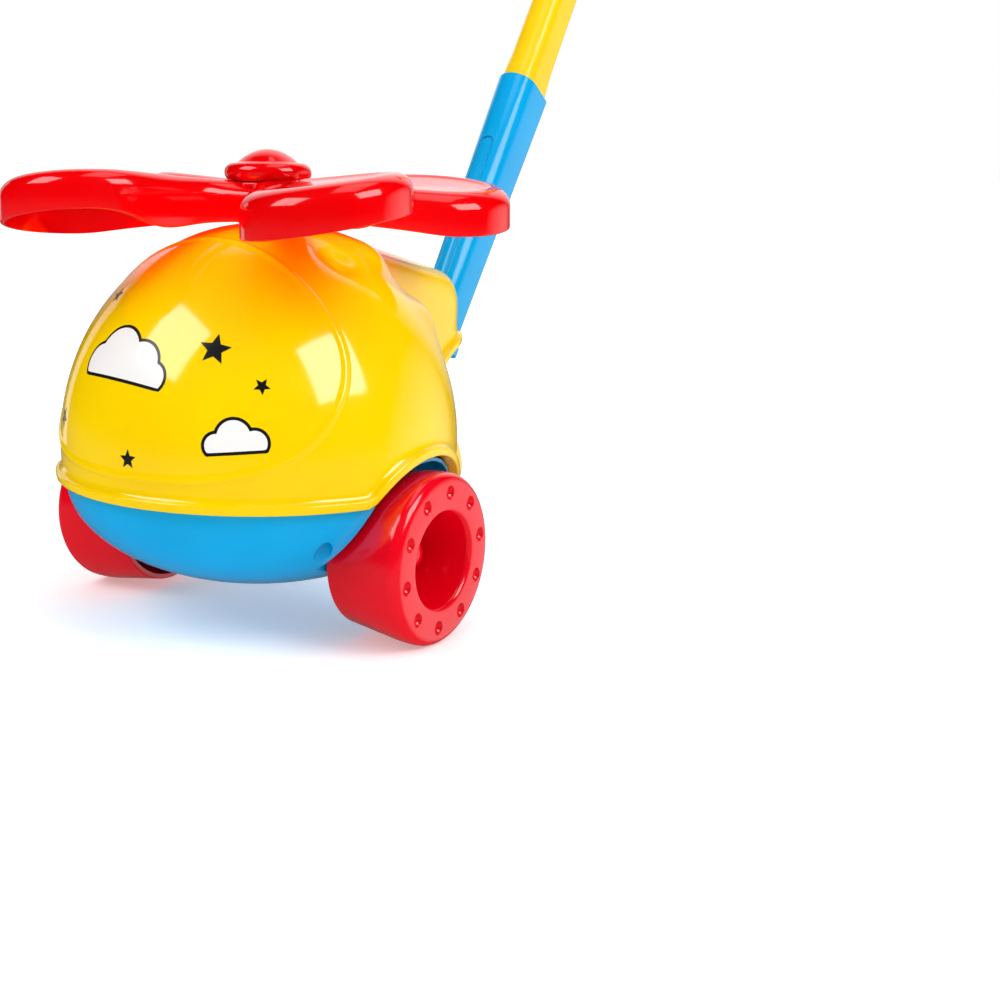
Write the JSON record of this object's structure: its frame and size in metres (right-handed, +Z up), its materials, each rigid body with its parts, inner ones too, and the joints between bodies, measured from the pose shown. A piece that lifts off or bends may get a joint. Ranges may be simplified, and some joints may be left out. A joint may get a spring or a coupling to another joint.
{
  "type": "toddler push toy",
  "caption": "Round helicopter-shaped push toy on wheels, with a rotor geared to the axle and a long two-piece handle with a cross grip.",
  "frame": {"origin": "on the ground, under the centre of the whole toy seen from above", "axes": "+X to the toy's left, along the axle; +Y to the tail and the handle; +Z up"},
  "size_m": [0.2022, 0.4524, 0.441],
  "materials": {
    "red_plastic": "glossy moulded plastic, bright red",
    "yellow_plastic": "glossy moulded plastic, yellow",
    "blue_plastic": "glossy moulded plastic, sky blue",
    "white_plastic": "plain moulded plastic, white",
    "steel": "bright zinc-plated steel"
  },
  "bodies": {
    "body": {"upper_shell": "yellow_plastic", "lower_shell": "blue_plastic", "mast_bush": "white_plastic", "gear_bracket": "white_plastic", "front_bracket_screw": "steel", "rear_bracket_screw": "steel", "left_front_shell_screw": "steel", "left_rear_shell_screw": "steel", "right_front_shell_screw": "steel", "right_rear_shell_screw": "steel", "handle_lower_tube": "blue_plastic", "handle_upper_tube": "yellow_plastic", "handle_grip": "red_plastic", "handle_screw": "steel", "grip_screw": "steel"},
    "axle_assembly": {"axle": "steel", "left_wheel": "red_plastic", "right_wheel": "red_plastic", "left_wheel_cap": "red_plastic", "right_wheel_cap": "red_plastic", "left_axle_washer": "white_plastic", "right_axle_washer": "white_plastic", "crown_gear": "white_plastic"},
    "rotor_assembly": {"mast": "steel", "mast_pinion": "white_plastic", "rotor": "red_plastic", "rotor_cap": "red_plastic", "rotor_screw": "steel"}
  },
  "joints": [
    {"name": "axle_spin", "type": "hinge", "parent": "body", "child": "axle_assembly", "pos_m": [0, -0.12513, 0.0385], "axis": [1, 0, 0], "continuous": true},
    {"name": "rotor_spin", "type": "hinge", "parent": "body", "child": "rotor_assembly", "pos_m": [0, -0.12513, 0.0385], "axis": [0, 0, 1], "continuous": true}
  ],
  "couplings": [
    {"joint": "rotor_spin", "follows": "axle_spin", "ratio": -3}
  ]
}
